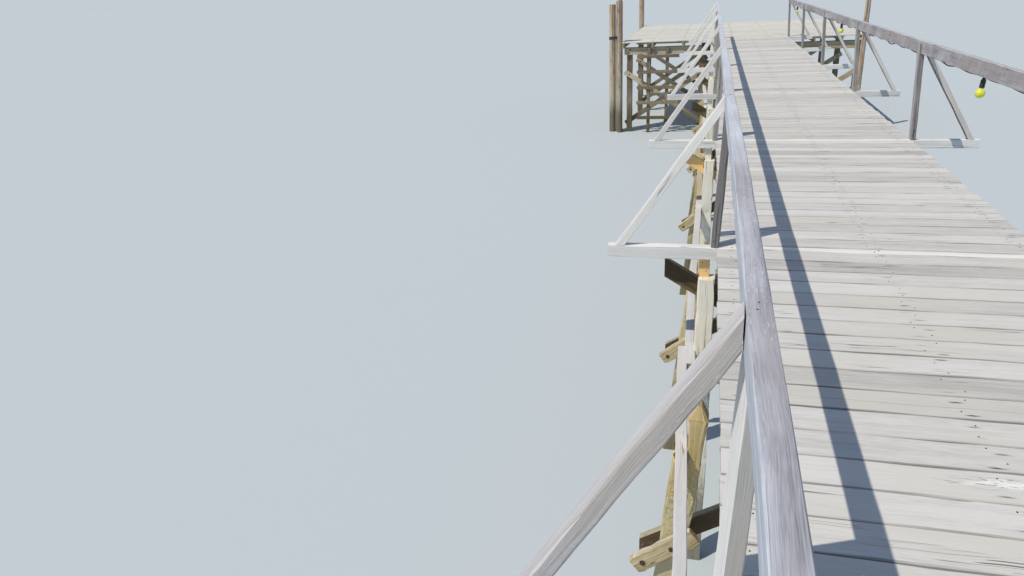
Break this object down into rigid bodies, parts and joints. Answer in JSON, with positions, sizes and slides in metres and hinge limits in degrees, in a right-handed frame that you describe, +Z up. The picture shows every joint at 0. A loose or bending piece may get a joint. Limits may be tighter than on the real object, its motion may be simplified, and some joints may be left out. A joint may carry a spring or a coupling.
{
  "type": "timber jetty",
  "caption": "Timber walkway jetty on upright and raking piles, with handrails propped from outrigger timbers and a broad T-shaped head at the seaward end.",
  "frame": {"origin": "centre of the overall box at the waterline, where the piles meet the water", "axes": "+Y runs seaward along the walkway to the head, +X is the right side walking seaward, +Z is up"},
  "size_m": [6.743, 28.4365, 3.65],
  "materials": {
    "deck_boards": "weathered",
    "stringer_timber": "weathered",
    "outrigger_timber": "weathered, sun bleached",
    "new_timber": "rough sawn, new",
    "left_rail_timber": "weathered",
    "right_rail_timber": "weathered",
    "post_timber": "weathered",
    "brace_timber": "weathered",
    "pile_timber": "rough",
    "waling_timber": "weathered",
    "raker_timber": "rough",
    "trestle_timber": "damp, weathered",
    "head_timber": "weathered",
    "strap_black": "matte",
    "cable_black": "matte",
    "bulb_yellow": "gloss"
  },
  "bodies": {
    "root": {"deck_shore": "deck_boards", "deck_bay_1": "deck_boards", "deck_bay_2": "deck_boards", "deck_bay_3": "deck_boards", "deck_bay_4": "deck_boards", "deck_bay_5": "deck_boards", "deck_bay_6": "deck_boards", "deck_head": "deck_boards", "stringer_left": "stringer_timber", "stringer_centre": "stringer_timber", "stringer_right": "stringer_timber", "outriggers": "outrigger_timber", "outrigger_blocks": "new_timber", "handrail_left": "left_rail_timber", "handrail_right": "right_rail_timber", "posts_left": "post_timber", "posts_right": "post_timber", "braces_left": "brace_timber", "braces_right": "brace_timber", "piles_left": "pile_timber", "piles_right": "pile_timber", "station_caps": "trestle_timber", "station_diagonals": "new_timber", "waling_left": "waling_timber", "waling_right": "waling_timber", "rakers_left": "raker_timber", "rakers_right": "raker_timber", "trestle_caps": "trestle_timber", "sway_braces": "trestle_timber", "sway_cleats": "raker_timber", "head_piles": "head_timber", "head_caps": "head_timber", "head_joists": "head_timber", "head_braces": "head_timber", "mooring_piles": "head_timber", "mooring_strap": "strap_black", "ladder_stiles": "head_timber", "ladder_rungs": "head_timber", "festoon_cable": "cable_black", "lampholders": "cable_black", "globe_bulbs": "bulb_yellow"}
  },
  "joints": []
}
